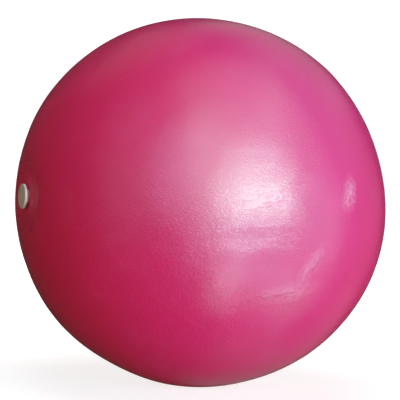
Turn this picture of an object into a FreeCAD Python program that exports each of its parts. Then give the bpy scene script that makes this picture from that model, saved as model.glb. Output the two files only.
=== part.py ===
import FreeCAD, Part
import os

import Sketcher

# A small inflated exercise ball: a hollow moulded skin, the valve socket that is fused into it, and the
# stopper that is pushed into the socket.
#
# Millimetres, +Z up. The origin is the centre of the flat patch on which the ball rests. The valve is on the
# ball's -X side, at the height of its centre.

FULL_TURN = 360.0

SIZES = {
    # the skin
    "ball_radius": 125.0,
    "wall": 0.8,
    "patch_radius": 14.0,  # where the ball's own weight presses it flat
    "valve_flat_radius": 21.0,  # the stiff valve keeps the skin flat round it
    "valve_flat_depth": 3.0,  # how far that flat lies inside the ball's round outline
    "pad_radius": 14.0,  # the thicker skin under the valve
    "pad_wall": 2.4,
    "pad_taper": 4.0,
    # the valve socket
    "socket_radius": 4.6,
    "socket_length": 16.0,
    "flange_radius": 11.0,
    "flange_wall": 1.2,
    "bore_radius": 2.6,
    "mouth_chamfer": 0.4,
    # the stopper
    "head_radius": 8.1,
    "head_thickness": 1.9,
    "head_rounding": 0.6,
    "neck_step": 0.7,  # how far the neck's foot stays inside the socket's rim, on which it seats
    "neck_flare": 1.1,
    "neck_length": 2.0,
    "stem_clearance": 0.05,
    "stem_length": 13.0,
    "tip_radius": 1.7,
    "tip_length": 3.0,
    "groove_depth": 0.35,
    "groove_width": 1.4,
    "groove_start": 1.2,
    "groove_pitch": 2.6,
    "groove_count": 3,
}

# Lengths that follow from those sizes, as expressions on the sheet.
CENTRE_HEIGHT = "sqrt(Sizes.ball_radius^2 - Sizes.patch_radius^2)"
VALVE_DISTANCE = "(Sizes.ball_radius - Sizes.valve_flat_depth)"
STEM_RADIUS = "(Sizes.bore_radius - Sizes.stem_clearance)"
NECK_RADIUS = "(Sizes.socket_radius - Sizes.neck_step)"
# A round blend runs from the valve's flat to the sphere, tangent to both. Its centre is BLEND_OFFSET from the
# ball's centre, and it meets the sphere on the line through the two centres, at the angle from the valve's
# axis with this sine and cosine.
BLEND_OFFSET = "((Sizes.valve_flat_depth^2 + Sizes.valve_flat_radius^2) / (2 * Sizes.valve_flat_depth))"
BLEND_RADIUS = f"(Sizes.ball_radius - {BLEND_OFFSET})"
BLEND_SINE = f"(Sizes.valve_flat_radius / {BLEND_OFFSET})"
BLEND_COSINE = f"sqrt(1 - {BLEND_SINE}^2)"


def make_sheet(doc):
    """The driving dimensions, one named cell each."""
    sheet = doc.addObject("Spreadsheet::Sheet", "Sizes")
    for row, (name, value) in enumerate(SIZES.items(), start=1):
        sheet.set(f"A{row}", name)
        sheet.set(f"B{row}", str(value))
        sheet.setAlias(f"B{row}", name)
    doc.recompute()
    return sheet


def number(holder, expression):
    """The value of an expression on the sheet's cells."""
    return float(holder.Document.getObject("Sizes").evalExpression(expression))


def make_body(doc, label, along_x):
    """An empty body whose own origin is at the height of the ball's centre and along_x from it."""
    body = doc.addObject("PartDesign::Body", label)
    body.Label = label
    body.setExpression(".Placement.Base.x", along_x)
    body.setExpression(".Placement.Base.z", CENTRE_HEIGHT)
    return body


def origin_feature(body, role):
    """One of the body's own origin planes or axes."""
    return next(feature for feature in body.Origin.OriginFeatures if feature.Role == role)


def make_sketch(body, name, plane, offset=None):
    """An empty sketch on one of the body's origin planes, or moved off it along its normal."""
    sketch = body.newObject("Sketcher::SketchObject", name)
    sketch.AttachmentSupport = [(origin_feature(body, plane), "")]
    sketch.MapMode = "FlatFace"
    if offset:
        sketch.setExpression(".AttachmentOffset.Base.z", offset)
    return sketch


def bind(sketch, kind, place, expression):
    """Ties one dimension of the sketch to an expression on the sheet."""
    index = sketch.addConstraint(Sketcher.Constraint(kind, *place, number(sketch, expression)))
    sketch.setExpression(f"Constraints[{index}]", expression)


def draw_edge(sketch, start, end, radius):
    """A line from start to end, or an arc if a radius is given, crowned away from the turning axis.

    Returns the edge with the numbers of the ends that lie at start and at end.
    """
    if not radius:
        return sketch.addGeometry(Part.LineSegment(start, end)), 1, 2
    chord = end - start
    inwards = FreeCAD.Vector(chord.y, -chord.x, 0).normalize()
    if inwards.y > 0:
        inwards = -inwards
    size = number(sketch, radius)
    centre = (start + end) / 2 + inwards * (size**2 - (chord.Length / 2) ** 2) ** 0.5
    crown = centre - inwards * size
    from_start = start.x > end.x
    right, left = (start, end) if from_start else (end, start)
    edge = sketch.addGeometry(Part.Arc(right, crown, left))
    bind(sketch, "Radius", (edge,), radius)
    return (edge, 1, 2) if from_start else (edge, 2, 1)


def draw_half_section(sketch, corners):
    """A closed outline above the turning axis, which is the sketch's horizontal axis.

    A corner is two expressions, its place along the axis and its distance from it, and a third if an arc of
    that radius leaves it instead of a line.
    """
    points = [FreeCAD.Vector(number(sketch, along), number(sketch, out), 0) for along, out, *_ in corners]
    edges = []
    for index, (_, _, *radius) in enumerate(corners):
        end = points[(index + 1) % len(points)]
        edges.append(draw_edge(sketch, points[index], end, radius[0] if radius else None))
    for index, (along, out, *_) in enumerate(corners):
        edge, first, _ = edges[index]
        edge_before, _, last_before = edges[index - 1]
        sketch.addConstraint(Sketcher.Constraint("Coincident", edge_before, last_before, edge, first))
        bind(sketch, "DistanceX", (-1, 1, edge, first), along)
        bind(sketch, "DistanceY", (-1, 1, edge, first), out)


def draw_circle(sketch, radius):
    """A circle round the sketch's origin."""
    ring = Part.Circle(FreeCAD.Vector(0, 0, 0), FreeCAD.Vector(0, 0, 1), number(sketch, radius))
    edge = sketch.addGeometry(ring)
    sketch.addConstraint(Sketcher.Constraint("Coincident", edge, 3, -1, 1))
    bind(sketch, "Radius", (edge,), radius)


def turn(body, kind, name, sketch):
    """A full Revolution or Groove of the sketch about the valve's axis."""
    feature = body.newObject(f"PartDesign::{kind}", name)
    feature.Profile = sketch
    feature.ReferenceAxis = (sketch, ["H_Axis"])
    feature.Angle = FULL_TURN
    return feature


def check_volume(doc, body, grew, volume_before):
    """Recomputes, and stops if the last feature of the body did not add or take material as it should."""
    doc.recompute()
    volume = body.Shape.Volume
    if (volume > volume_before) != grew:
        raise RuntimeError(f"{body.Label}: {body.Tip.Label} changed the volume from {volume_before} to {volume}")
    return volume


def make_ball_skin(doc):
    """The hollow skin, with its flats at the floor and at the valve."""
    body = make_body(doc, "ball_skin", "0")
    face = f"-{VALVE_DISTANCE}"
    section = make_sketch(body, "skin_section", "XZ_Plane")
    inner = "(Sizes.ball_radius - Sizes.wall)"
    blend = f"{BLEND_COSINE}", f"{BLEND_SINE}"
    draw_half_section(
        section,
        [
            ("Sizes.ball_radius", "0", "Sizes.ball_radius"),
            (f"-Sizes.ball_radius * {blend[0]}", f"Sizes.ball_radius * {blend[1]}", BLEND_RADIUS),
            (face, "Sizes.valve_flat_radius"),
            (face, "Sizes.socket_radius"),
            (f"{face} + Sizes.pad_wall", "Sizes.socket_radius"),
            (f"{face} + Sizes.pad_wall", "Sizes.pad_radius"),
            (f"{face} + Sizes.wall", "Sizes.pad_radius + Sizes.pad_taper"),
            (f"{face} + Sizes.wall", "Sizes.valve_flat_radius", f"({BLEND_RADIUS} - Sizes.wall)"),
            (f"-{inner} * {blend[0]}", f"{inner} * {blend[1]}", inner),
            (inner, "0"),
        ],
    )
    turn(body, "Revolution", "skin_shell", section)
    volume = check_volume(doc, body, True, 0.0)

    below = f"-{CENTRE_HEIGHT}"
    disc = make_sketch(body, "patch_disc", "XY_Plane", below)
    draw_circle(disc, "Sizes.patch_radius")
    patch = body.newObject("PartDesign::Pad", "floor_patch")
    patch.Profile = disc
    patch.setExpression("Length", "Sizes.wall")
    volume = check_volume(doc, body, True, volume)

    cap = make_sketch(body, "cap_disc", "XY_Plane", below)
    draw_circle(cap, "2 * Sizes.patch_radius")
    flat = body.newObject("PartDesign::Pocket", "floor_flat")
    flat.Profile = cap
    flat.Type = "ThroughAll"
    check_volume(doc, body, False, volume)
    return body


def make_valve_insert(doc):
    """The valve socket: a tube through the skin, with a flange fused to the inside of the pad."""
    body = make_body(doc, "valve_insert", f"-{VALVE_DISTANCE}")
    section = make_sketch(body, "socket_section", "XZ_Plane")
    flange_back = "Sizes.pad_wall + Sizes.flange_wall"
    draw_half_section(
        section,
        [
            ("0", "Sizes.bore_radius + Sizes.mouth_chamfer"),
            ("0", "Sizes.socket_radius"),
            ("Sizes.pad_wall", "Sizes.socket_radius"),
            ("Sizes.pad_wall", "Sizes.flange_radius"),
            (flange_back, "Sizes.flange_radius"),
            (flange_back, "Sizes.socket_radius"),
            ("Sizes.socket_length", "Sizes.socket_radius"),
            ("Sizes.socket_length", "Sizes.bore_radius"),
            ("Sizes.mouth_chamfer", "Sizes.bore_radius"),
        ],
    )
    turn(body, "Revolution", "socket", section)
    check_volume(doc, body, True, 0.0)
    return body


def make_plug(doc):
    """The stopper: a flat pull head, a flared neck that seats on the socket, and a grooved stem in its bore."""
    body = make_body(doc, "plug", f"-{VALVE_DISTANCE}")
    section = make_sketch(body, "stopper_section", "XZ_Plane")
    head_face = "-(Sizes.neck_length + Sizes.head_thickness)"
    draw_half_section(
        section,
        [
            (head_face, "0"),
            (head_face, "Sizes.head_radius"),
            ("-Sizes.neck_length", "Sizes.head_radius"),
            ("-Sizes.neck_length", f"{NECK_RADIUS} + Sizes.neck_flare"),
            ("0", NECK_RADIUS),
            ("0", STEM_RADIUS),
            ("Sizes.stem_length - Sizes.tip_length", STEM_RADIUS),
            ("Sizes.stem_length", "Sizes.tip_radius"),
            ("Sizes.stem_length", "0"),
        ],
    )
    turn(body, "Revolution", "stopper", section)
    volume = check_volume(doc, body, True, 0.0)

    ring = make_sketch(body, "groove_section", "XZ_Plane")
    groove_end = "Sizes.groove_start + Sizes.groove_width"
    bottom = f"{STEM_RADIUS} - Sizes.groove_depth"
    beyond = f"{STEM_RADIUS} + Sizes.groove_depth"
    draw_half_section(
        ring,
        [
            ("Sizes.groove_start", beyond),
            ("Sizes.groove_start", bottom),
            (groove_end, bottom),
            (groove_end, beyond),
        ],
    )
    groove = turn(body, "Groove", "stem_groove", ring)
    volume = check_volume(doc, body, False, volume)

    rings = body.newObject("PartDesign::LinearPattern", "stem_grooves")
    rings.Originals = [groove]
    rings.Direction = (origin_feature(body, "X_Axis"), [""])
    rings.setExpression("Occurrences", "Sizes.groove_count")
    rings.setExpression("Length", "Sizes.groove_pitch * (Sizes.groove_count - 1)")
    body.Tip = rings
    volume = check_volume(doc, body, False, volume)

    rounding = body.newObject("PartDesign::Fillet", "head_rim")
    rounding.Base = (rings, head_rim_edges(body))
    rounding.setExpression("Radius", "Sizes.head_rounding")
    body.Tip = rounding
    check_volume(doc, body, False, volume)
    return body


def head_rim_edges(body):
    """The names of the round edges at the head's full radius: its outer and its inner rim."""
    radius = number(body, "Sizes.head_radius")
    names = []
    for index, edge in enumerate(body.Shape.Edges, start=1):
        if isinstance(edge.Curve, Part.Circle) and abs(edge.Curve.Radius - radius) < 1e-6:
            names.append(f"Edge{index}")
    return names


def check_document(doc, bodies):
    """Stops if any object of the document failed or any sub-part has no valid solid."""
    doc.recompute()
    for item in doc.Objects:
        if "Invalid" in item.State or "Error" in item.State:
            raise RuntimeError(f"{item.Label} failed: {item.State}")
    for body in bodies:
        if body.Shape.isNull() or not body.Shape.isValid() or len(body.Shape.Solids) != 1:
            raise RuntimeError(f"{body.Label} is not one valid solid")


def main():
    doc = FreeCAD.newDocument("ExerciseBall")
    make_sheet(doc)
    bodies = [make_ball_skin(doc), make_valve_insert(doc), make_plug(doc)]
    check_document(doc, bodies)
    os.makedirs("parts", exist_ok=True)
    for body in bodies:
        body.Shape.exportStep(os.path.join("parts", f"{body.Label}.step"))
        print(f"{body.Label}: {body.Shape.Volume / 1000:.2f} cm3, {body.Shape.BoundBox}")


main()
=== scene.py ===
import cmath
import math

import bmesh
import bpy
from bpy.props import FloatProperty, FloatVectorProperty, IntProperty, PointerProperty
from bpy.types import Operator, Panel, PropertyGroup
from mathutils import Matrix, Quaternion, Vector, noise


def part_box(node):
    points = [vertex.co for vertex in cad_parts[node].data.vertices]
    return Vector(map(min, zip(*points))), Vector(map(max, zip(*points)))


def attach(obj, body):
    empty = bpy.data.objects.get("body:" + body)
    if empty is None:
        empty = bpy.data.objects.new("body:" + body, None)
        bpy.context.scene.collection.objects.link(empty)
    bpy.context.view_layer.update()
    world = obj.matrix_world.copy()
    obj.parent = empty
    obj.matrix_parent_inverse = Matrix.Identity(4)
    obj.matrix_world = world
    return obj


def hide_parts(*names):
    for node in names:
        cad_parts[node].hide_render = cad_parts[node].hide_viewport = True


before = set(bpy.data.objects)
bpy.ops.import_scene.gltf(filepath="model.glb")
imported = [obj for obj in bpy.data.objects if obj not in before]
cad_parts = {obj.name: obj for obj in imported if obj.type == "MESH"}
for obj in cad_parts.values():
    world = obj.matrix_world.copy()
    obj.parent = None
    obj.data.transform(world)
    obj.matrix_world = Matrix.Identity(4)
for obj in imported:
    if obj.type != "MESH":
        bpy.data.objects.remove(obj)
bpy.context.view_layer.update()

bl_info = {
    "name": "Exercise Ball",
    "version": (1, 0, 0),
    "blender": (4, 5, 0),
    "location": "View3D > Sidebar > Exercise Ball",
    "description": "A small inflated vinyl exercise ball with its valve socket and stopper",
    "category": "Add Mesh",
}

# A soft inflated exercise ball, in metres, +Z up, resting on the origin. The valve is on the -X side, and
# every piece is turned about the valve's axis, which runs along X through the ball's centre.

MM = 0.001

SKIN_LOW, SKIN_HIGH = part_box("ball_skin")
SOCKET_LOW, SOCKET_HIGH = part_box("valve_insert")
PLUG_LOW, PLUG_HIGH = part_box("plug")

BALL_RADIUS = SKIN_HIGH.x
CENTRE = Vector((0.0, 0.0, (PLUG_LOW.z + PLUG_HIGH.z) / 2))
VALVE_FACE = SKIN_LOW.x
HEAD_FACE = PLUG_LOW.x
HEAD_RADIUS = (PLUG_HIGH.z - PLUG_LOW.z) / 2
STEM_END = PLUG_HIGH.x
SOCKET_END = SOCKET_HIGH.x
FLANGE_RADIUS = (SOCKET_HIGH.z - SOCKET_LOW.z) / 2


def linear(hex_colour):
    """An sRGB colour such as "#D9307B" as linear red, green, blue and alpha."""
    levels = [int(hex_colour[place : place + 2], 16) / 255 for place in (1, 3, 5)]
    return [c / 12.92 if c <= 0.04045 else ((c + 0.055) / 1.055) ** 2.4 for c in levels] + [1.0]


def length_property(name, description, default):
    """A length in metres that a user may change."""
    return FloatProperty(name=name, description=description, default=default, unit="LENGTH", precision=5)


def colour_property(name, description, hex_colour):
    """A colour that a user may change."""
    return FloatVectorProperty(
        name=name, description=description, default=linear(hex_colour), subtype="COLOR", size=4, min=0, max=1
    )


# ---------------------------------------------------------------- settings


class BallSkinSettings(PropertyGroup):
    """The skin's sizes and colours."""

    wall: length_property("Wall", "Thickness of the skin", 0.8 * MM)
    flat_radius: length_property("Valve Flat Radius", "Radius of the skin's flat round the valve", 21 * MM)
    hole_radius: length_property("Hole Radius", "Radius of the hole that the socket fills", 4.6 * MM)
    hole_rounding: length_property("Hole Rounding", "Rounding of the hole's outer edge", 0.35 * MM)
    pad_radius: length_property("Pad Radius", "Radius of the thicker skin under the valve", 14 * MM)
    pad_wall: length_property("Pad Thickness", "Thickness of the skin under the valve", 2.4 * MM)
    pad_taper: length_property("Pad Taper", "Width over which the pad thins to the wall", 4 * MM)
    imprint: length_property("Flange Imprint", "How far the buried flange stands out in the skin", 0.015 * MM)
    waviness: length_property("Waviness", "Height of the gentle waves in the blown skin", 0.12 * MM)
    grain: length_property("Grain Size", "Width of one streak of the moulded grain", 1.15 * MM)
    grain_depth: length_property("Grain Depth", "Height of the moulded grain", 0.17 * MM)
    steps: IntProperty(name="Steps Round", description="Faces round the valve's axis", default=256, min=32)
    colour: colour_property("Colour", "Pigment of the vinyl", "#D9307B")
    # Painted shade: the deeper red painted on the side towards the valve, which faces away from the key
    # light.
    shade_side_colour: colour_property("Shaded Side Colour", "The deeper red of the valve's side", "#CF2A5C")
    deep_colour: colour_property("Deep Colour", "Where the pigment lies thicker", "#C92468")
    scuff_colour: colour_property("Scuff Colour", "Vinyl dulled by handling", "#DB5A92")
    # Partly rubbed wear, and partly a painted highlight where the skin faces the lamps.
    worn_and_glint_colour: colour_property("Worn And Glint Colour", "Vinyl rubbed pale along its creases", "#F2B4CC")


class ValveSocketSettings(PropertyGroup):
    """The valve socket's sizes and colours."""

    socket_radius: length_property("Radius", "Outer radius of the tube", 4.6 * MM)
    bore_radius: length_property("Bore Radius", "Radius of the bore that the stem seals", 2.6 * MM)
    mouth_chamfer: length_property("Mouth Chamfer", "Chamfer of the bore's mouth", 0.4 * MM)
    flange_wall: length_property("Flange Thickness", "Thickness of the flange", 1.2 * MM)
    steps: IntProperty(name="Steps Round", description="Faces round the axis", default=64, min=16)
    colour: colour_property("Colour", "Unpigmented vinyl", "#E2CFC6")


class StopperSettings(PropertyGroup):
    """The stopper's sizes and colours."""

    neck_length: length_property("Neck Length", "From the seat to the head", 2 * MM)
    neck_radius: length_property("Neck Radius", "Radius of the neck where it seats", 3.9 * MM)
    neck_flare: length_property("Neck Flare", "How far the neck widens to the head", 1.1 * MM)
    head_rounding: length_property("Head Rounding", "Rounding of the head's rims", 0.6 * MM)
    dish: length_property("Dish", "How far the head's face has sunk at its centre", 0.12 * MM)
    stem_radius: length_property("Stem Radius", "Radius of the stem's rings", 2.55 * MM)
    tip_radius: length_property("Tip Radius", "Radius of the stem's end", 1.7 * MM)
    tip_length: length_property("Tip Length", "Length of the tapered tip", 3 * MM)
    groove_depth: length_property("Groove Depth", "Depth of the grooves between the rings", 0.35 * MM)
    groove_width: length_property("Groove Width", "Width of each groove", 1.4 * MM)
    groove_start: length_property("First Groove", "From the seat to the first groove", 1.2 * MM)
    groove_pitch: length_property("Groove Pitch", "From one groove to the next", 2.6 * MM)
    groove_count: IntProperty(name="Grooves", description="Number of grooves", default=3, min=1)
    steps: IntProperty(name="Steps Round", description="Faces round the axis", default=96, min=16)
    colour: colour_property("Colour", "White polythene", "#E4DED4")
    grime: colour_property("Grime", "Handling dirt in the corners", "#B7A998")
    # A darker grey that the head's outer face is tinted with.
    face_grey: colour_property("Face Grey", "What fingers leave on the head's face", "#A8B2B8")
    # Painted reflected light: the pink that the vinyl throws onto the neck and stem.
    pink_bounce: colour_property("Pink Bounce", "Dye that the vinyl has left on the neck", "#F4AAA8")


class StageSettings(PropertyGroup):
    """The camera, the floor and the lights."""

    azimuth: FloatProperty(
        name="Camera Azimuth", description="Where the camera stands round the ball", subtype="ANGLE",
        default=math.radians(-23.4),
    )
    elevation: FloatProperty(
        name="Camera Elevation", description="How high the camera looks down", subtype="ANGLE",
        default=math.radians(1.0),
    )
    roll: FloatProperty(
        name="Camera Roll", description="How far the camera leans", subtype="ANGLE", default=math.radians(2.4)
    )
    distance: length_property("Camera Distance", "From the camera to the ball's centre", 1.0)
    lens: FloatProperty(name="Lens", description="Focal length in millimetres", default=132.15)
    shift: FloatProperty(
        name="Shift", description="How far the lens is shifted up", default=0.0057, precision=4
    )
    reach: length_property("Floor Radius", "Radius of the floor and of the dome over it", 6.0)
    dome_glow: FloatProperty(name="Dome Glow", description="Brightness of the dome", default=1.2)
    floor_colour: colour_property("Floor Colour", "The pale floor", "#A0A0A0")


SETTINGS = {
    "ball_skin_settings": BallSkinSettings,
    "valve_socket_settings": ValveSocketSettings,
    "stopper_settings": StopperSettings,
    "ball_stage_settings": StageSettings,
}


# ---------------------------------------------------------------- meshes


def arc(centre, radius, start, end, count):
    """Points on a round stretch of an outline: angles run from +X towards the outside."""
    turns = [start + (end - start) * step / count for step in range(count + 1)]
    return [(centre[0] + radius * math.cos(turn), centre[1] + radius * math.sin(turn)) for turn in turns]


def spaced(start, end, count):
    """Points on a straight stretch of an outline, with the last one left out."""
    return [
        (start[0] + (end[0] - start[0]) * step / count, start[1] + (end[1] - start[1]) * step / count)
        for step in range(count)
    ]


def turned(outline, steps):
    """A bmesh turned about the valve's axis from an outline of (along X, out from the axis) points."""
    bm = bmesh.new()
    corners = [bm.verts.new(CENTRE + Vector((along, 0, out))) for along, out in outline]
    edges = [bm.edges.new(pair) for pair in zip(corners, corners[1:])]
    bmesh.ops.spin(
        bm, geom=corners + edges, cent=CENTRE, axis=(1, 0, 0), angle=2 * math.pi, steps=steps, use_merge=True
    )
    bmesh.ops.remove_doubles(bm, verts=bm.verts, dist=0.001 * MM)
    bmesh.ops.recalc_face_normals(bm, faces=bm.faces)
    return bm


def make_piece(name, bm, material, body, node):
    """Makes the bmesh an object with the given material that rides on a body, and hides the CAD node it
    replaces.
    """
    mesh = bpy.data.meshes.new(name)
    bm.to_mesh(mesh)
    bm.free()
    mesh.shade_smooth()
    mesh.materials.append(material)
    piece = bpy.data.objects.new(name, mesh)
    bpy.context.scene.collection.objects.link(piece)
    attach(piece, body)
    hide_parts(node)


def smooth_step(value, low, high):
    """From 0 at low to 1 at high, with no corner."""
    share = min(max((value - low) / (high - low), 0.0), 1.0)
    return share * share * (3 - 2 * share)


# ---------------------------------------------------------------- materials


def add_node(tree, kind, inputs=None, **settings):
    """A node with its settings. An input is a value, or another node's output to link from."""
    made = tree.nodes.new(kind)
    for name, value in settings.items():
        setattr(made, name, value)
    for name, value in (inputs or {}).items():
        if isinstance(value, bpy.types.NodeSocket):
            tree.links.new(value, made.inputs[name])
        else:
            made.inputs[name].default_value = value
    return made


def new_material(name):
    """An empty material's node tree, its Principled shader, and the place on the object, in metres."""
    material = bpy.data.materials.new(name)
    material.use_nodes = True
    tree = material.node_tree
    tree.nodes.clear()
    place = add_node(tree, "ShaderNodeTexCoord").outputs["Object"]
    shader = add_node(tree, "ShaderNodeBsdfPrincipled")
    add_node(tree, "ShaderNodeOutputMaterial", {"Surface": shader.outputs["BSDF"]})
    return material, tree, shader, place


def blotches(tree, place, size, detail, low, high):
    """Noise with patches of the given size, as a share that is 0 below low and 1 above high."""
    inputs = {"Vector": place, "Scale": 1 / size, "Detail": detail, "Roughness": 0.55}
    patches = add_node(tree, "ShaderNodeTexNoise", inputs)
    return rising(tree, patches.outputs["Fac"], low, high, "SMOOTHSTEP")


def blend_colours(tree, share, first, second):
    """The first colour where the share is 0, and the second where it is 1."""
    return add_node(
        tree, "ShaderNodeMix", {"Factor": share, 6: first, 7: second}, data_type="RGBA"
    ).outputs[2]


def tint(tree, base, share, strength, colour):
    """The base colour, tinted with another by up to the given strength where the share is 1."""
    return blend_colours(tree, spread(tree, share, 0.0, strength), base, colour)


def spread(tree, share, low, high):
    """A share of 0 to 1 as a number from low to high."""
    return add_node(
        tree, "ShaderNodeMapRange", {"Value": share, "To Min": low, "To Max": high}
    ).outputs["Result"]


def times(tree, first, second):
    """The first number times the second."""
    return add_node(tree, "ShaderNodeMath", {0: first, 1: second}, operation="MULTIPLY").outputs[0]


def rising(tree, value, start, end, interpolation="LINEAR"):
    """A share that is 0 where the value is at the start and 1 where it is at the end."""
    inputs = {"Value": value, "From Min": start, "From Max": end}
    return add_node(tree, "ShaderNodeMapRange", inputs, interpolation_type=interpolation).outputs["Result"]


def add_up(tree, first, second, weight):
    """The first number plus the second times a weight."""
    return add_node(
        tree, "ShaderNodeMath", {0: second, 1: weight, 2: first}, operation="MULTIPLY_ADD"
    ).outputs[0]


# Where the blown skin creased when it was folded flat, as seen from the -Y side: degrees round towards +X,
# degrees up and turn from level, then half length, half width and height in millimetres. A groove is
# negative.
FOLDS = [
    (-7.9, -8.2, 7, 38, 8.0, -0.26),
    (-6.9, -13.2, 7, 36, 7.0, 0.24),
    (-6.9, 15, 4, 36, 6.0, -0.10),
    (-4.9, 2, 22, 24, 5.0, 0.16),
    (6.1, -24, 11, 24, 4.5, 0.34),
    (12.1, -16, 64, 13, 4.5, 0.32),
    (13.1, -12, 19, 17, 4.0, -0.14),
    (-10.9, -22, 0, 10, 10, 0.10),
    (-46.9, -18, -47, 25, 3.5, 0.05),
    (-27.9, -34, -40, 38, 3.5, 0.05),
    (-0.9, -45, -12, 27, 3.5, 0.07),
    (-53.9, 39, 47, 7, 2.2, -0.14),
    (-43.9, 48, 23, 9, 2.2, -0.14),
    (117.1, 12, 35, 30, 4.0, 0.16),
    (149.1, -20, -12, 36, 3.0, 0.12),
    (-140.9, 30, 20, 30, 3.5, -0.14),
]
# Where it is finely wrinkled and tinted pale: painted highlights on the three towards the camera, and
# rubbed wear on the one behind. The same, with how pale it is last.
SCUFFS_AND_GLINTS = [
    (6.1, -24.5, 11, 28, 9.0, 0.32),
    (12.1, -16, 64, 18, 8.5, 0.36),
    (25.1, 5, 78, 15, 10.0, 0.65),
    (-135.9, -12, 30, 16, 6.0, 0.5),
]
# Where handling has dulled the skin round the valve: the same, without a height.
MATT_RING = (-90, 0, 0, 34, 34)
# How deep into the ball every oval reaches, which covers the curve of the skin.
OVAL_DEPTH = 30 * MM
# How far the folds and scuffs wander from their ovals, and the size of the waves in which they do.
WANDER_REACH = 3.5 * MM
WANDER_SIZE = 14 * MM


def oval_place(tree, place, around, above, turn, half_length, half_width):
    """The place as seen from an oval on the ball's skin, whose edge is 1 away along every axis."""
    around, above, turn = math.radians(around), math.radians(above), math.radians(turn)
    level = Vector((math.sin(around), -math.cos(around), 0))
    outward = level * math.cos(above) + Vector((0, 0, math.sin(above)))
    east = Vector((math.cos(around), math.sin(around), 0))
    along = east * math.cos(turn) + outward.cross(east) * math.sin(turn)
    axes = Matrix((along, outward.cross(along), outward)).transposed()
    return add_node(
        tree,
        "ShaderNodeMapping",
        {
            "Vector": place,
            "Location": CENTRE + outward * BALL_RADIUS,
            "Rotation": axes.to_euler(),
            "Scale": (half_length * MM, half_width * MM, OVAL_DEPTH),
        },
        vector_type="TEXTURE",
    ).outputs["Vector"]


def oval_share(tree, oval):
    """A share that is 1 at the middle of an oval and falls smoothly to 0 at its edge."""
    inwards = add_node(tree, "ShaderNodeTexGradient", {"Vector": oval}, gradient_type="SPHERICAL")
    return rising(tree, inwards.outputs["Fac"], 0.0, 1.0, "SMOOTHSTEP")


def rotomoulded_vinyl(settings):
    """Soft plasticised vinyl, moulded by rotation in a mould with a fine grained face.

    It is pigmented all through, with a satin face whose streaky grain breaks up what it reflects, slow
    changes in depth of colour where the wall set thicker, soft folds, and pale patches where it was rubbed.
    Its deeper red towards the valve is painted shade, and some of its pale patches are painted highlights.
    """
    material, tree, shader, place = new_material("rotomoulded_vinyl")
    thick = blotches(tree, place, 70 * MM, 3, 0.35, 0.7)
    speck = blotches(tree, place, 2.2 * MM, 2, 0.45, 0.75)
    rubbed = blotches(tree, place, 30 * MM, 2, 0.45, 0.85)
    along = add_node(tree, "ShaderNodeSeparateXYZ", {0: place}).outputs["X"]
    # Painted shade: the skin turns a deeper red towards the valve's side, which faces away from the key
    # light.
    from_valve = rising(tree, along, -0.9 * BALL_RADIUS, 0.35 * BALL_RADIUS, "SMOOTHSTEP")
    base = blend_colours(tree, from_valve, settings.shade_side_colour, settings.colour)
    base = tint(tree, base, thick, 0.25, settings.deep_colour)
    base = tint(tree, base, speck, 0.12, settings.deep_colour)
    base = tint(tree, base, rubbed, 0.14, settings.scuff_colour)

    # Short level streaks, like fine leather. They are drawn more than twice as coarse as the real grain of
    # about 0.4 mm, so that they show. From here on, heights are in millimetres.
    drawn_out = add_node(
        tree, "ShaderNodeVectorMath", {0: place, 1: (1.0, 1.0, 2.0)}, operation="MULTIPLY"
    ).outputs["Vector"]
    streaks = add_node(
        tree,
        "ShaderNodeTexNoise",
        {"Vector": drawn_out, "Scale": 1 / settings.grain, "Detail": 1.0, "Distortion": 0.9},
    ).outputs["Fac"]
    height = spread(tree, streaks, 0.0, settings.grain_depth / MM)

    wander = add_node(
        tree, "ShaderNodeTexNoise", {"Vector": place, "Scale": 1 / WANDER_SIZE, "Detail": 2.0}
    ).outputs["Color"]
    wander = add_node(
        tree,
        "ShaderNodeVectorMath",
        {0: wander, 1: (2 * WANDER_REACH,) * 3, 2: place},
        operation="MULTIPLY_ADD",
    ).outputs["Vector"]
    wander = add_node(
        tree, "ShaderNodeVectorMath", {0: wander, 1: (WANDER_REACH,) * 3}, operation="SUBTRACT"
    ).outputs["Vector"]
    for *oval, rise in FOLDS:
        height = add_up(tree, height, oval_share(tree, oval_place(tree, wander, *oval)), rise)

    # The wrinkles of a scuff run along its oval, which stretches them.
    wrinkle_height = 0.45
    for *oval, strength in SCUFFS_AND_GLINTS:
        local = oval_place(tree, wander, *oval)
        share = oval_share(tree, local)
        creased = add_node(
            tree, "ShaderNodeTexNoise", {"Vector": local, "Scale": 4.6, "Detail": 2.0, "Distortion": 0.15}
        ).outputs["Fac"]
        height = add_up(tree, height, times(tree, share, creased), wrinkle_height)
        # The pale tint is a painted highlight on the ovals towards the camera, and rubbed wear on the one
        # behind.
        pale = spread(tree, rising(tree, creased, 0.36, 0.68), 0.25, 1.0)
        base = tint(tree, base, times(tree, share, pale), strength, settings.worn_and_glint_colour)

    texture = add_node(tree, "ShaderNodeBump", {"Height": height, "Distance": 1 * MM})
    matt_ring = oval_share(tree, oval_place(tree, place, *MATT_RING))
    rough = add_up(tree, spread(tree, rubbed, 0.15, 0.2), matt_ring, 0.5)
    tree.links.new(base, shader.inputs["Base Color"])
    tree.links.new(rough, shader.inputs["Roughness"])
    tree.links.new(texture.outputs["Normal"], shader.inputs["Normal"])
    shader.inputs["IOR"].default_value = 1.53
    return material


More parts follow.
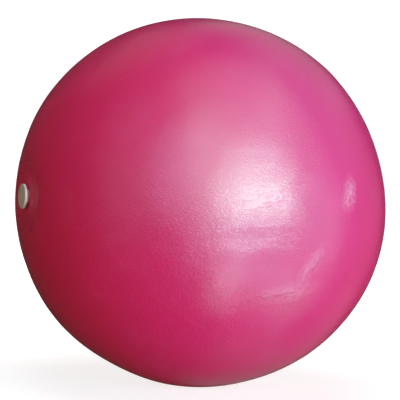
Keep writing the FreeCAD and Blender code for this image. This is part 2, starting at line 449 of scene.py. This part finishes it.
def natural_vinyl(settings):
    """Unpigmented soft vinyl, injection moulded: milky, slightly see-through and satin."""
    material, tree, shader, place = new_material("natural_vinyl")
    milky = blotches(tree, place, 4 * MM, 3, 0.3, 0.7)
    darker = [level * 0.86 for level in settings.colour[:3]] + [1.0]
    tree.links.new(blend_colours(tree, milky, settings.colour, darker), shader.inputs["Base Color"])
    fine = blotches(tree, place, 0.5 * MM, 2, 0.2, 0.8)
    texture = add_node(tree, "ShaderNodeBump", {"Height": fine, "Distance": 0.01 * MM})
    tree.links.new(texture.outputs["Normal"], shader.inputs["Normal"])
    tree.links.new(spread(tree, milky, 0.38, 0.5), shader.inputs["Roughness"])
    shader.inputs["IOR"].default_value = 1.52
    shader.inputs["Subsurface Weight"].default_value = 0.25
    shader.inputs["Subsurface Radius"].default_value = (1.5 * MM, 1.1 * MM, 0.9 * MM)
    return material


def moulded_polythene(settings):
    """White low-density polythene, injection moulded: waxy, satin, with a fine spark-eroded texture.

    Its outer face is tinted a darker grey, and its neck and stem carry a painted pink reflection of the
    vinyl.
    """
    material, tree, shader, place = new_material("moulded_polythene")
    handled = blotches(tree, place, 5 * MM, 4, 0.5, 0.8)
    base = tint(tree, settings.colour, handled, 0.35, settings.grime)
    depth = add_node(tree, "ShaderNodeSeparateXYZ", {"Vector": place}).outputs["X"]
    # The head's outer face, tinted a darker grey.
    outer_face = rising(tree, depth, HEAD_FACE + 0.5 * MM, HEAD_FACE + 0.2 * MM)
    base = tint(tree, base, outer_face, 0.6, settings.face_grey)
    # Painted reflection: the neck and stem are tinted pink for the light that the pink vinyl throws onto
    # them.
    neck = VALVE_FACE - settings.neck_length
    pink_bounce_share = rising(tree, depth, neck - 0.1 * MM, neck + 0.2 * MM)
    base = tint(tree, base, pink_bounce_share, 0.8, settings.pink_bounce)
    fine = blotches(tree, place, 0.35 * MM, 3, 0.2, 0.8)
    texture = add_node(tree, "ShaderNodeBump", {"Height": fine, "Distance": 0.012 * MM})
    tree.links.new(base, shader.inputs["Base Color"])
    tree.links.new(spread(tree, handled, 0.34, 0.5), shader.inputs["Roughness"])
    tree.links.new(texture.outputs["Normal"], shader.inputs["Normal"])
    shader.inputs["IOR"].default_value = 1.51
    shader.inputs["Subsurface Weight"].default_value = 0.2
    shader.inputs["Subsurface Radius"].default_value = (1.2 * MM, 1.0 * MM, 0.8 * MM)
    return material


def floor_paint(settings):
    """A pale sweep of paper: matt, with a glow of its own that grows away from the ball to match the dome."""
    material, tree, shader, place = new_material("pale_floor")
    shader.inputs["Base Color"].default_value = settings.floor_colour
    shader.inputs["Roughness"].default_value = 0.9
    shader.inputs["Specular IOR Level"].default_value = 0.0
    shader.inputs["Emission Color"].default_value = (1, 1, 1, 1)
    out = add_node(tree, "ShaderNodeVectorMath", {0: place}, operation="LENGTH").outputs["Value"]
    glow = spread(tree, rising(tree, out, 0.15, 0.7), 0.8, settings.dome_glow)
    tree.links.new(glow, shader.inputs["Emission Strength"])
    return material


# ---------------------------------------------------------------- pieces


def blend_angles(flat_radius):
    """The round blend from the valve's flat to the sphere: its radius, and its angle from the axis."""
    depth = BALL_RADIUS + VALVE_FACE
    offset = (depth**2 + flat_radius**2) / (2 * depth)
    return BALL_RADIUS - offset, math.asin(flat_radius / offset)


def skin_outline(settings):
    """The skin's half-section, from its outer pole round to the hole and back inside to its inner pole."""
    blend_radius, blend_angle = blend_angles(settings.flat_radius)
    blend_centre = (VALVE_FACE + blend_radius, settings.flat_radius)
    rounding = settings.hole_rounding
    inside = VALVE_FACE + settings.wall
    pad_face = VALVE_FACE + settings.pad_wall
    pad_foot = settings.pad_radius + settings.pad_taper
    meet = math.pi - blend_angle
    outline = arc((0, 0), BALL_RADIUS, 0, meet, 170)
    outline += arc(blend_centre, blend_radius, meet, math.pi, 8)[1:-1]
    outline += spaced((VALVE_FACE, settings.flat_radius), (VALVE_FACE, settings.hole_radius + rounding), 22)
    outline += arc(
        (VALVE_FACE + rounding, settings.hole_radius + rounding), rounding, math.pi, 1.5 * math.pi, 5
    )
    outline += [(pad_face, settings.hole_radius)]
    outline += [(pad_face, settings.pad_radius), (inside, pad_foot)]
    outline += arc(blend_centre, blend_radius - settings.wall, math.pi, meet, 4)[:-1]
    outline += arc((0, 0), BALL_RADIUS - settings.wall, meet, 0, 56)
    return outline


# How the blown skin is out of round, seen from the camera's side: how many bulges stand round it, their
# height in millimetres, and how far down from the right the first one stands, in degrees times their number.
BULGES = [(2, 1.15, 51), (3, 0.53, 91), (4, 0.39, 162), (5, 0.23, -28), (6, 0.3, 79)]


def shape_blown_skin(bm, settings, right, down):
    """Makes the turned skin slightly out of round, gently wavy, and flat where it rests.

    The bulges fade out towards the valve and the floor, and the waves towards the floor. The buried flange
    prints through faintly.
    """
    rest = -CENTRE.z
    softness = 0.12 * MM
    # Where the fading starts and ends, in radians from the valve's axis and from straight down.
    near_valve = (0.20, 0.75)
    near_floor = (0.15, 0.7)
    # Where the flange's print fades, out from the axis: at its rim, and at the socket's tube.
    print_rim = (FLANGE_RADIUS + 2.5 * MM, FLANGE_RADIUS - 1.0 * MM)
    print_tube = (5.0 * MM, 6.5 * MM)
    bulges = [(count, cmath.rect(height * MM, -math.radians(turn))) for count, height, turn in BULGES]
    for vert in bm.verts:
        place = vert.co - CENTRE
        reach = place.length
        way = place / reach
        outer = reach > BALL_RADIUS - settings.wall / 2 or place.x < VALVE_FACE + settings.wall / 2
        from_valve = smooth_step(math.acos(max(-1.0, min(1.0, -way.x))), *near_valve)
        from_floor = smooth_step(math.acos(max(-1.0, min(1.0, -way.z))), *near_floor)
        seen = complex(way.dot(right), way.dot(down))
        bulge = sum((seen**count * size).real for count, size in bulges)
        waves = noise.fractal(Vector((way.x * 4, way.y * 4, way.z * 7)), 1.0, 2.0, 3) * settings.waviness
        rise = bulge * from_valve * from_floor + waves * from_floor
        if outer and place.x < 0 and from_valve < 1.0:
            out = math.hypot(place.y, place.z)
            rise += settings.imprint * smooth_step(out, *print_rim) * smooth_step(out, *print_tube)
        place += way * rise
        floor = rest if outer else rest + settings.wall
        over = (place.z - floor) / softness
        if over < 20:
            place.z = floor + softness * math.log1p(math.exp(over))
        vert.co = place + CENTRE


class BALL_OT_skin(Operator):
    """Adds the hollow skin with its flat at the valve, and its flat patch on the floor"""

    bl_idname = "ball.skin"
    bl_label = "Ball Skin"
    bl_options = {"REGISTER", "UNDO"}

    def execute(self, context):
        settings = context.scene.ball_skin_settings
        stage = context.scene.ball_stage_settings
        right, up, _ = camera_axes(stage)
        bm = turned(skin_outline(settings), settings.steps)
        shape_blown_skin(bm, settings, right, -up)
        make_piece("vinyl_skin", bm, rotomoulded_vinyl(settings), "ball", "ball_skin")
        return {"FINISHED"}


class BALL_OT_valve_socket(Operator):
    """Adds the valve socket that is fused into the skin"""

    bl_idname = "ball.valve_socket"
    bl_label = "Valve Socket"
    bl_options = {"REGISTER", "UNDO"}

    def execute(self, context):
        settings = context.scene.valve_socket_settings
        skin = context.scene.ball_skin_settings
        flange = VALVE_FACE + skin.pad_wall
        back = flange + settings.flange_wall
        mouth = settings.bore_radius + settings.mouth_chamfer
        tube = settings.socket_radius
        outline = [
            (VALVE_FACE, mouth),
            (VALVE_FACE, tube),
            (flange, tube),
            (flange, FLANGE_RADIUS),
            (back, FLANGE_RADIUS),
            (back, tube),
            (SOCKET_END, tube),
            (SOCKET_END, settings.bore_radius),
            (VALVE_FACE + settings.mouth_chamfer, settings.bore_radius),
            (VALVE_FACE, mouth),
        ]
        bm = turned(outline, settings.steps)
        sharp = [edge for edge in bm.edges if edge.calc_face_angle(0) > math.radians(30)]
        bmesh.ops.bevel(
            bm, geom=sharp, offset=0.12 * MM, segments=2, profile=0.5, affect="EDGES", material=-1,
            clamp_overlap=True,
        )
        make_piece(
            "valve_socket", bm, natural_vinyl(settings), "ball", "valve_insert"
        )
        return {"FINISHED"}


class BALL_OT_stopper(Operator):
    """Adds the white stopper that is pushed into the valve socket"""

    bl_idname = "ball.stopper"
    bl_label = "Stopper"
    bl_options = {"REGISTER", "UNDO"}

    def execute(self, context):
        settings = context.scene.stopper_settings
        bm = turned(self.outline(settings), settings.steps)
        make_piece("stopper", bm, moulded_polythene(settings), "plug", "plug")
        return {"FINISHED"}

    def outline(self, settings):
        """The stopper's half-section, from the head's centre round to the tip.

        The head's face has sunk a little and has the dimple of the gate; its rim has a faint parting line.
        """
        rounding = settings.head_rounding
        under = VALVE_FACE - settings.neck_length
        dimple, dimple_depth = 0.75 * MM, 0.18 * MM
        heart = HEAD_FACE + settings.dish
        dimple_floor = heart + dimple_depth
        face = [(dimple_floor, 0), (dimple_floor, dimple * 0.8), (heart, dimple)]
        sunk = HEAD_RADIUS * 0.9
        shares = [step / 8 for step in range(1, 9)]
        face += [(HEAD_FACE + settings.dish * (1 - share**2), sunk * share) for share in shares]
        rim = arc((HEAD_FACE + rounding, HEAD_RADIUS - rounding), rounding, math.pi, math.pi / 2, 6)
        line = (HEAD_FACE + under) / 2
        half, flash = 0.08 * MM, 0.03 * MM
        rim += [(line - half, HEAD_RADIUS), (line, HEAD_RADIUS + flash), (line + half, HEAD_RADIUS)]
        rim += arc((under - rounding, HEAD_RADIUS - rounding), rounding, math.pi / 2, 0, 6)
        neck_top = settings.neck_radius + settings.neck_flare
        fillet = 0.5 * MM
        edge = 0.1 * MM
        neck = arc((under + fillet, neck_top + fillet), fillet, math.pi, math.pi * 1.5, 4)
        neck += [(VALVE_FACE - edge, settings.neck_radius), (VALVE_FACE, settings.neck_radius - edge)]
        stem = [(VALVE_FACE, settings.stem_radius)]
        inner = settings.stem_radius - settings.groove_depth
        ease = 0.15 * MM
        for number in range(settings.groove_count):
            start = VALVE_FACE + settings.groove_start + number * settings.groove_pitch
            end = start + settings.groove_width
            stem += [
                (start - ease, settings.stem_radius),
                (start, settings.stem_radius - ease),
                (start + ease, inner),
                (end - ease, inner),
                (end, settings.stem_radius - ease),
                (end + ease, settings.stem_radius),
            ]
        blunting, taper = 0.3 * MM, 0.05 * MM
        tip = [
            (STEM_END - settings.tip_length, settings.stem_radius),
            (STEM_END - blunting, settings.tip_radius + taper),
            (STEM_END, settings.tip_radius - blunting),
            (STEM_END, 0),
        ]
        return face + rim + neck + stem + tip


# ---------------------------------------------------------------- stage


def camera_axes(stage):
    """The directions to the camera's right, upwards and towards the camera, before it leans."""
    around, above = stage.azimuth, stage.elevation
    right = Vector((math.cos(around), math.sin(around), 0))
    toward = Vector(
        (math.sin(around) * math.cos(above), -math.cos(around) * math.cos(above), math.sin(above))
    )
    return right, toward.cross(right), toward


def aim(thing, place, target):
    """Puts a light or camera at a place, looking at a target."""
    thing.location = place
    thing.rotation_mode = "QUATERNION"
    thing.rotation_quaternion = (target - place).to_track_quat("-Z", "Y")


def add_panel(name, stage, side, above, distance, size, radiance, colour, diffuse, glossy):
    """A rectangular light of even radiance that faces the ball's centre and isn't seen itself."""
    right, _, toward = camera_axes(stage)
    level = Vector((toward.x, toward.y, 0)).normalized()
    side, above = math.radians(side), math.radians(above)
    way = (level * math.cos(side) + right * math.sin(side)) * math.cos(above)
    way.z = math.sin(above)
    light = bpy.data.lights.new(name, "AREA")
    light.shape = "RECTANGLE"
    light.size, light.size_y = size
    light.energy = radiance * math.pi * size[0] * size[1]
    light.color = colour
    panel = bpy.data.objects.new(name, light)
    bpy.context.scene.collection.objects.link(panel)
    aim(panel, CENTRE + way * distance, CENTRE)
    panel.visible_camera = False
    panel.visible_diffuse = diffuse
    panel.visible_glossy = glossy


# The soft lights: name, degrees round from the camera towards its right, degrees up, distance, width and
# height in metres, radiance, colour, and whether the light shows in the matt colour and in the gloss. Those
# in the matt colour shade the ball. Those in the gloss stand for what it reflects: a window with its sill
# and jambs, a table, and the walls.
PANELS = [
    ("warm_left", -38, 0, 1.3, (0.8, 0.8), 2.86, (1, 0.64, 0.38), True, False),
    ("cool_key", 35, 2, 1.3, (0.9, 0.9), 8.49, (0.54, 0.77, 1), True, False),
    ("ceiling", 0, 85, 1.3, (0.9, 0.9), 4.44, (0.92, 0.96, 1), True, False),
    ("warm_below", 10, -50, 1.3, (0.9, 0.8), 1.02, (1, 0.64, 0.29), True, False),
    ("warm_far_right", 118, -5, 1.3, (0.8, 0.9), 3.75, (1, 0.57, 0.15), True, False),
    ("warm_low_right", 75, -45, 1.3, (0.7, 0.7), 2.98, (1, 0.6, 0.21), True, False),
    ("back_fill", 180, 12, 1.5, (1.1, 0.9), 2.6, (1, 0.94, 0.88), True, False),
    ("window_top", 31, 25, 0.9, (0.73, 0.38), 4.85, (0.42, 1, 0.86), False, True),
    ("window_middle", 30, 4.5, 0.9, (0.76, 0.28), 15.36, (0.42, 1, 0.88), False, True),
    ("window_lower", 30, -9, 0.9, (0.76, 0.14), 2.46, (0.32, 0.76, 1), False, True),
    ("streak_left", 23, -3, 0.9, (0.15, 0.07), 44.62, (0.42, 1, 0.98), False, True),
    ("streak_right", 47, 5.5, 0.9, (0.15, 0.07), 27.7, (0.39, 0.93, 1), False, True),
    ("window_bright", 36, 7.5, 0.9, (0.42, 0.1), 19.72, (0.42, 1, 0.77), False, True),
    ("window_glint", 25.5, 0, 0.9, (0.17, 0.14), 3.55, (0.32, 0.76, 1), False, True),
    ("window_upper", 30.5, 27, 0.9, (0.44, 0.13), 11.53, (0.42, 1, 0.99), False, True),
    ("window_low", 31, -20.5, 0.9, (0.52, 0.24), 2.26, (0.32, 0.76, 1), False, True),
    ("sill", 40, -33, 0.9, (0.55, 0.16), 5.74, (0.32, 0.77, 1), False, True),
    ("table", 44.5, -46, 0.9, (0.74, 0.25), 2.2, (0.42, 1, 0.89), False, True),
    ("jamb_high", 0, 21.5, 0.9, (0.21, 0.78), 5.66, (0.42, 1, 0.99), False, True),
    ("jamb_low", 0, -16, 0.9, (0.21, 0.45), 3.72, (0.32, 0.77, 1), False, True),
    ("left_wall", -16, 17.5, 0.9, (0.27, 0.75), 3.99, (0.32, 0.77, 1), False, True),
    ("left_far", -42.5, 25, 0.9, (0.51, 1.26), 0.69, (0.31, 0.75, 1), False, True),
    ("over_window", 26.5, 49, 0.9, (0.78, 0.35), 3.28, (0.42, 1, 0.88), False, True),
    ("right_high", 70, 36.5, 0.9, (0.39, 0.78), 2.2, (0.42, 1, 0.7), False, True),
    ("right_middle", 72.5, -6, 0.9, (0.56, 0.62), 2.63, (0.42, 1, 0.99), False, True),
    ("right_low", 74.5, -37.5, 0.9, (0.45, 0.4), 1.9, (0.42, 1, 0.77), False, True),
    ("high_up", 40, 73.5, 0.9, (0.89, 0.37), 1.58, (0.42, 1, 0.8), False, True),
    ("table_edge", 19, -33, 0.9, (0.17, 0.8), 5.41, (0.4, 0.95, 1), False, True),
    ("right_side", 104, 30, 0.9, (0.35, 0.5), 0.47, (0.42, 1, 0.7), False, True),
    ("high_side", 128, 57, 0.9, (0.5, 0.35), 0.27, (0.42, 1, 0.7), False, True),
    ("high_window", 67, 55, 0.9, (0.26, 0.32), 0.42, (0.42, 1, 0.7), False, True),
    ("behind_high", 150, 42, 1, (0.9, 0.6), 0.38, (0.42, 1, 0.7), False, True),
    ("behind_low", 150, -40, 1, (0.9, 0.6), 0.2, (0.42, 1, 0.86), False, True),
    ("behind_over", -140, 58, 1, (0.7, 0.5), 0.27, (0.42, 1, 0.73), False, True),
    ("under_right", 110, -68, 1, (0.6, 0.5), 0.38, (0.42, 1, 0.73), False, True),
    ("right_far", 115, 5, 0.9, (0.65, 1.8), 0.19, (0.42, 1, 0.7), False, True),
]


class BALL_OT_stage(Operator):
    """Adds the pale floor, the soft lights and the camera"""

    bl_idname = "ball.stage"
    bl_label = "Stage"
    bl_options = {"REGISTER", "UNDO"}

    def execute(self, context):
        stage = context.scene.ball_stage_settings
        self.add_sweep(stage)
        for name, *panel in PANELS:
            add_panel(name, stage, *panel)
        self.add_room(context.scene)
        self.add_camera(context.scene, stage)
        return {"FINISHED"}

    def add_sweep(self, stage):
        """A round floor and a pale dome over it. Neither lights the ball: the room and the panels do."""
        bm = bmesh.new()
        bmesh.ops.create_circle(bm, cap_ends=True, segments=96, radius=stage.reach)
        self.add_stage_piece("floor", bm, floor_paint(stage))
        bm = bmesh.new()
        bmesh.ops.create_uvsphere(bm, u_segments=96, v_segments=48, radius=stage.reach)
        bmesh.ops.bisect_plane(
            bm, geom=bm.verts[:] + bm.edges[:] + bm.faces[:], plane_co=(0, 0, 0), plane_no=(0, 0, -1),
            clear_outer=True,
        )
        bmesh.ops.reverse_faces(bm, faces=bm.faces)
        glow = bpy.data.materials.new("pale_dome")
        glow.use_nodes = True
        tree = glow.node_tree
        tree.nodes.clear()
        light = add_node(tree, "ShaderNodeEmission", {"Color": (1, 1, 1, 1), "Strength": stage.dome_glow})
        add_node(tree, "ShaderNodeOutputMaterial", {"Surface": light.outputs[0]})
        self.add_stage_piece("dome", bm, glow)

    def add_stage_piece(self, name, bm, material):
        """Adds a piece of the backdrop that only the camera sees."""
        mesh = bpy.data.meshes.new(name)
        bm.to_mesh(mesh)
        bm.free()
        mesh.materials.append(material)
        piece = bpy.data.objects.new(name, mesh)
        bpy.context.scene.collection.objects.link(piece)
        piece.visible_diffuse = False
        piece.visible_glossy = False
        piece.visible_shadow = False
        piece.visible_transmission = False

    def add_room(self, scene):
        """The dim room round the ball: warmer and darker low down, paler overhead."""
        scene.world = bpy.data.worlds.new("room")
        scene.world.use_nodes = True
        tree = scene.world.node_tree
        tree.nodes.clear()
        way = add_node(tree, "ShaderNodeTexCoord").outputs["Generated"]
        height = add_node(tree, "ShaderNodeSeparateXYZ", {0: way}).outputs["Z"]
        share = rising(tree, height, -1.0, 1.0)
        colour = blend_colours(tree, share, (0.03, 0.025, 0.022, 1), (0.06, 0.055, 0.055, 1))
        light = add_node(tree, "ShaderNodeBackground", {"Color": colour, "Strength": 1.0})
        add_node(tree, "ShaderNodeOutputWorld", {"Surface": light.outputs[0]})

    def add_camera(self, scene, stage):
        """The camera, level with the ball and a little off its valve's side."""
        _, _, toward = camera_axes(stage)
        data = bpy.data.cameras.new("camera")
        data.lens = stage.lens
        data.shift_y = stage.shift
        camera = bpy.data.objects.new("camera", data)
        scene.collection.objects.link(camera)
        aim(camera, CENTRE + toward * stage.distance, CENTRE)
        camera.rotation_quaternion = camera.rotation_quaternion @ Quaternion((0, 0, 1), stage.roll)
        scene.camera = camera
        scene.view_settings.view_transform = "Standard"


class BALL_PT_sidebar(Panel):
    """Lists the ball's pieces and their sizes"""

    bl_idname = "BALL_PT_sidebar"
    bl_label = "Exercise Ball"
    bl_space_type = "VIEW_3D"
    bl_region_type = "UI"
    bl_category = "Exercise Ball"

    def draw(self, context):
        for operator, settings in zip(OPERATORS, SETTINGS):
            box = self.layout.box()
            box.operator(operator.bl_idname)
            group = getattr(context.scene, settings)
            for name in group.__annotations__:
                box.prop(group, name)


OPERATORS = [BALL_OT_skin, BALL_OT_valve_socket, BALL_OT_stopper, BALL_OT_stage]
CLASSES = [*SETTINGS.values(), *OPERATORS, BALL_PT_sidebar]


def register():
    """Makes the operators, the panel and the settings known to Blender."""
    for entry in CLASSES:
        bpy.utils.register_class(entry)
    for name, group in SETTINGS.items():
        setattr(bpy.types.Scene, name, PointerProperty(type=group))


def unregister():
    """Takes them all out again."""
    for name in SETTINGS:
        delattr(bpy.types.Scene, name)
    for entry in reversed(CLASSES):
        bpy.utils.unregister_class(entry)


def main():
    """Builds the ball and its stage."""
    register()
    bpy.ops.ball.skin()
    bpy.ops.ball.valve_socket()
    bpy.ops.ball.stopper()
    bpy.ops.ball.stage()


if __name__ == "__main__":
    main()
